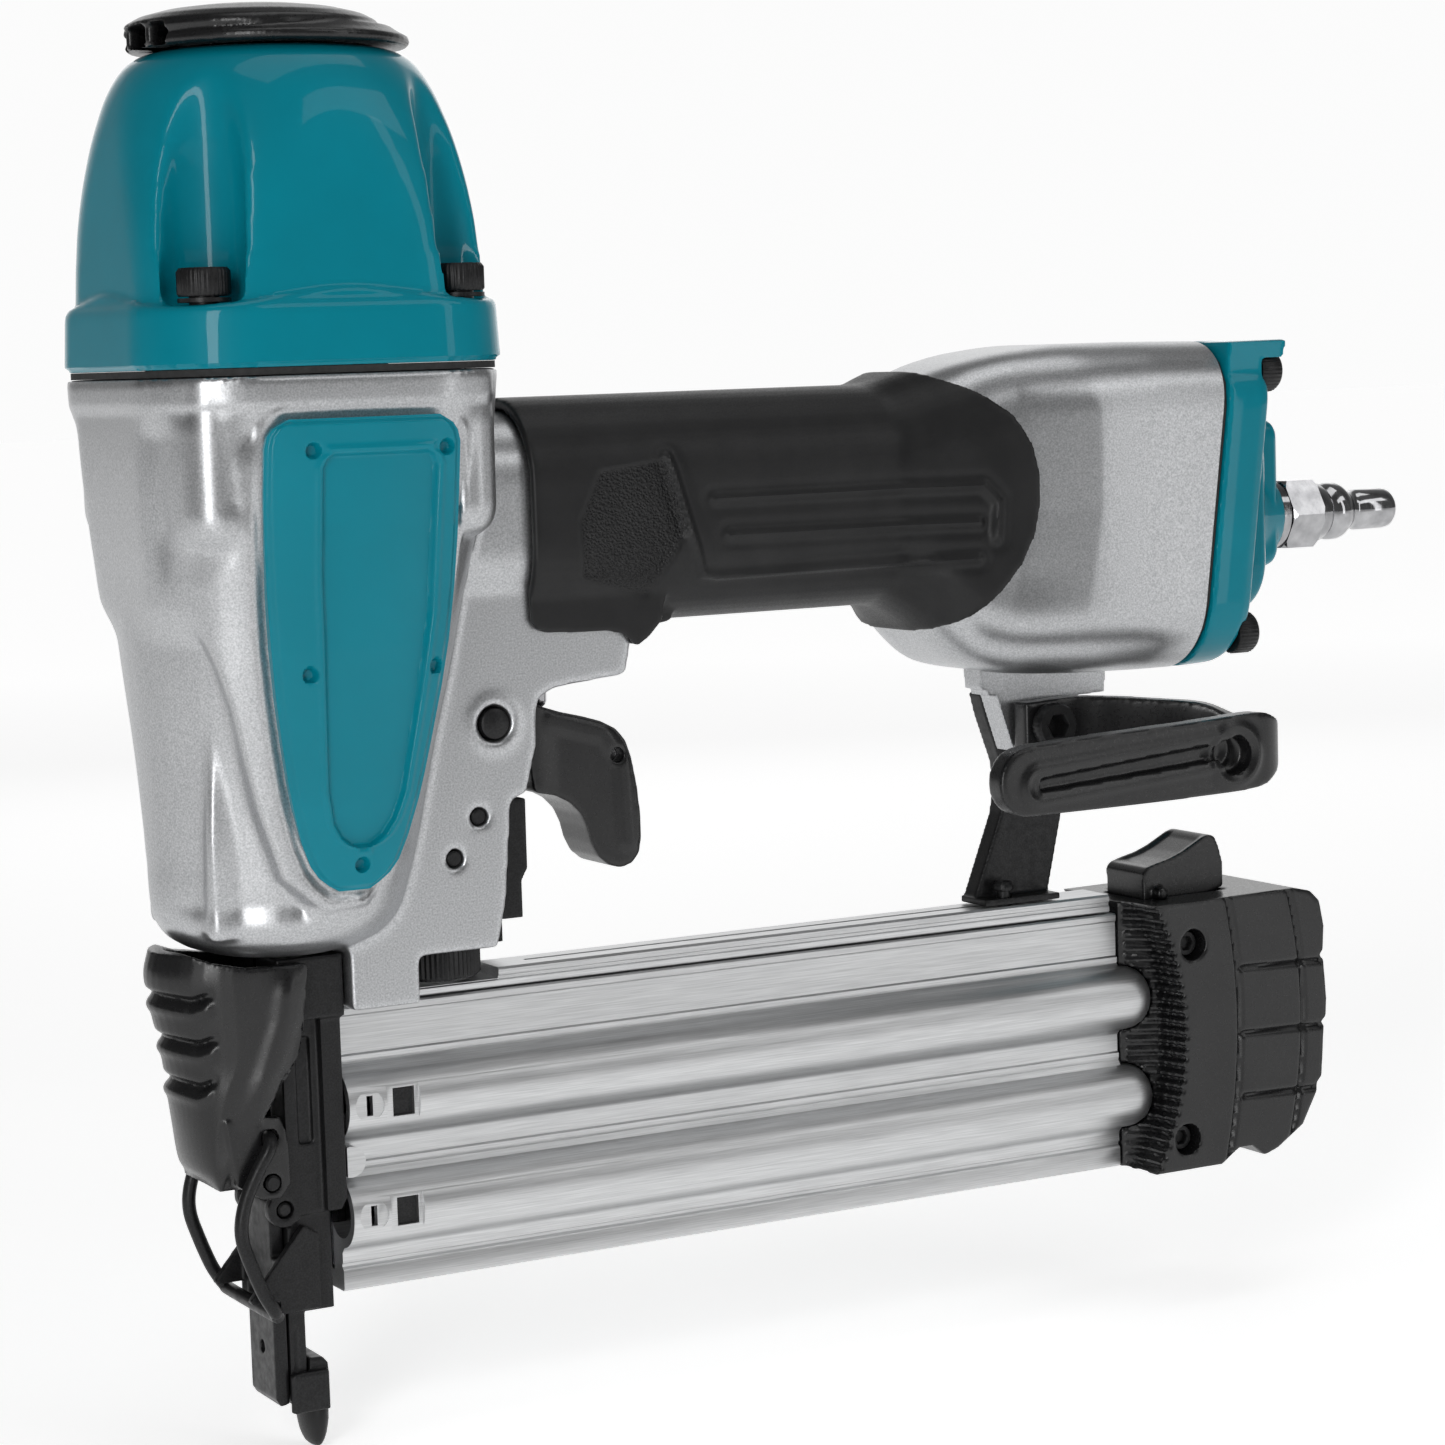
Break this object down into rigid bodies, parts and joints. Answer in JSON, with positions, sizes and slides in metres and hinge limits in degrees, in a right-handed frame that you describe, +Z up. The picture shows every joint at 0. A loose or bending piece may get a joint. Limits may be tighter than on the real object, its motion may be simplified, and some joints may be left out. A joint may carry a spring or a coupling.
{
  "type": "pneumatic brad nailer",
  "caption": "Air-driven brad nailer: cast barrel and handle, painted cap with exhaust deflector, trigger, latched nose, sliding side magazine and belt hook.",
  "frame": {"origin": "on the axis of the cylinder cap, at the flat top of the deflector bolt, the highest point of the tool", "axes": "+Z up along the cap axis away from the nose, +X towards the air plug, -Y the side that carries the belt hook"},
  "size_m": [0.2599, 0.0723, 0.2398],
  "materials": {
    "cast_silver": "bead-blasted casting under clear silver paint",
    "teal_paint": "glossy enamel on a casting",
    "black_rubber": "matt moulded rubber",
    "gasket_rubber": "plain gasket sheet",
    "black_plastic": "fine spark texture, moulded",
    "black_steel": "black oxide",
    "bright_steel": "bright plated steel",
    "brushed_aluminium": "clear anodised, drawn grain along X",
    "spring_steel": "drawn spring wire"
  },
  "bodies": {
    "frame": {"main_body": "cast_silver", "cap_gasket": "gasket_rubber", "cylinder_cap": "teal_paint", "cap_screw_1": "black_steel", "cap_screw_2": "black_steel", "cap_screw_3": "black_steel", "cap_screw_4": "black_steel", "deflector_bolt": "black_steel", "cylinder_sleeve": "brushed_aluminium", "bumper": "black_rubber", "head_valve_spring": "spring_steel", "side_badge_near": "teal_paint", "side_badge_far": "teal_paint", "handle_grip": "black_rubber", "rear_gasket": "gasket_rubber", "rear_cap": "teal_paint", "rear_cap_screw_1": "black_steel", "rear_cap_screw_2": "black_steel", "rear_cap_screw_3": "black_steel", "rear_cap_screw_4": "black_steel", "air_plug": "bright_steel", "trigger_pin": "black_steel", "valve_body": "bright_steel", "valve_spring": "spring_steel", "dowel_pin_1": "black_steel", "dowel_pin_2": "black_steel", "driver_guide": "black_steel", "door_pin": "black_steel", "latch_pin": "black_steel", "magazine_rail": "brushed_aluminium", "brad_strip": "bright_steel", "rear_arm": "black_steel", "arm_screw": "black_steel", "belt_hook": "black_plastic", "hook_screw": "black_steel", "contact_spring": "spring_steel"},
    "deflector": {"exhaust_deflector": "black_plastic"},
    "piston": {"piston": "brushed_aluminium", "piston_o_ring": "gasket_rubber", "driver_blade": "bright_steel"},
    "head_valve": {"head_valve": "black_plastic"},
    "trigger": {"trigger": "black_plastic"},
    "safety_lever": {"trigger_lever": "bright_steel"},
    "valve_stem": {"valve_stem": "bright_steel"},
    "contact": {"contact_arm": "black_steel", "contact_yoke": "black_steel", "no_mar_tip": "black_rubber"},
    "latch": {"latch_lever": "black_plastic"},
    "bail": {"latch_bail": "black_steel"},
    "door": {"nose_door": "black_steel"},
    "dial": {"depth_dial": "black_steel", "depth_screw": "bright_steel"},
    "magazine": {"magazine_cover": "brushed_aluminium", "end_cap": "black_plastic", "end_cap_screw_1": "black_steel", "end_cap_screw_2": "black_steel", "pusher_spring_upper": "spring_steel", "pusher_spring_lower": "spring_steel"},
    "pusher": {"nail_pusher": "black_steel"},
    "button": {"latch_button": "black_plastic"}
  },
  "joints": [
    {"name": "deflector_turn", "type": "hinge", "parent": "frame", "child": "deflector", "pos_m": [0, 0, -0.0047], "axis": [0, 0, 1], "continuous": true},
    {"name": "piston_stroke", "type": "slide", "parent": "frame", "child": "piston", "axis": [0, 0, -1], "range_m": [0, 0.066]},
    {"name": "head_valve_lift", "type": "slide", "parent": "frame", "child": "head_valve", "axis": [0, 0, 1], "range_m": [0, 0.004], "stiffness_N_per_m": 500, "springref_m": -0.006, "deforming": ["head_valve_spring"]},
    {"name": "trigger_pull", "type": "hinge", "parent": "frame", "child": "trigger", "pos_m": [0.0303, 0, -0.1191], "axis": [0, -1, 0], "range_deg": [0, 9], "stiffness_Nm_per_rad": 0.5, "springref_deg": -8.59, "deforming": ["valve_spring"]},
    {"name": "safety_lever_tilt", "type": "hinge", "parent": "trigger", "child": "safety_lever", "pos_m": [0.0566, 0, -0.127], "axis": [0, 1, 0], "range_deg": [0, 8]},
    {"name": "valve_stem_lift", "type": "slide", "parent": "frame", "child": "valve_stem", "axis": [0, 0, 1], "range_m": [0, 0.0024]},
    {"name": "contact_arm_slide", "type": "slide", "parent": "frame", "child": "contact", "axis": [0, 0, 1], "range_m": [0, 0.008], "stiffness_N_per_m": 300, "springref_m": -0.012, "deforming": ["contact_spring"]},
    {"name": "latch_open", "type": "hinge", "parent": "frame", "child": "latch", "pos_m": [-0.0118, 0, -0.1919], "axis": [0, -1, 0], "range_deg": [0, 60]},
    {"name": "bail_swing", "type": "hinge", "parent": "latch", "child": "bail", "pos_m": [-0.012, 0, -0.1844], "axis": [0, 1, 0], "range_deg": [0, 69]},
    {"name": "door_open", "type": "hinge", "parent": "frame", "child": "door", "pos_m": [-0.0089, 0, -0.1973], "axis": [0, 1, 0], "range_deg": [0, 15]},
    {"name": "dial_turn", "type": "hinge", "parent": "frame", "child": "dial", "pos_m": [0.0238, 0, -0.1597], "axis": [0, 0, 1], "continuous": true},
    {"name": "magazine_slide", "type": "slide", "parent": "frame", "child": "magazine", "axis": [1, 0, 0], "range_m": [0, 0.1]},
    {"name": "pusher_slide", "type": "slide", "parent": "magazine", "child": "pusher", "axis": [1, 0, 0], "range_m": [0, 0.08], "stiffness_N_per_m": 25, "springref_m": -0.08, "deforming": ["pusher_spring_upper", "pusher_spring_lower"]},
    {"name": "button_press", "type": "hinge", "parent": "magazine", "child": "button", "pos_m": [0.1686, 0, -0.1621], "axis": [0, 1, 0], "range_deg": [0, 8], "stiffness_Nm_per_rad": 0.3, "springref_deg": -11.46}
  ],
  "couplings": [
    {"joint": "valve_stem_lift", "follows": "trigger_pull", "m_per_rad": 0.0152},
    {"joint": "safety_lever_tilt", "follows": "contact_arm_slide", "rad_per_m": 17.4},
    {"joint": "bail_swing", "follows": "latch_open", "ratio": 1.15},
    {"joint": "door_open", "follows": "latch_open", "ratio": 0.25}
  ]
}
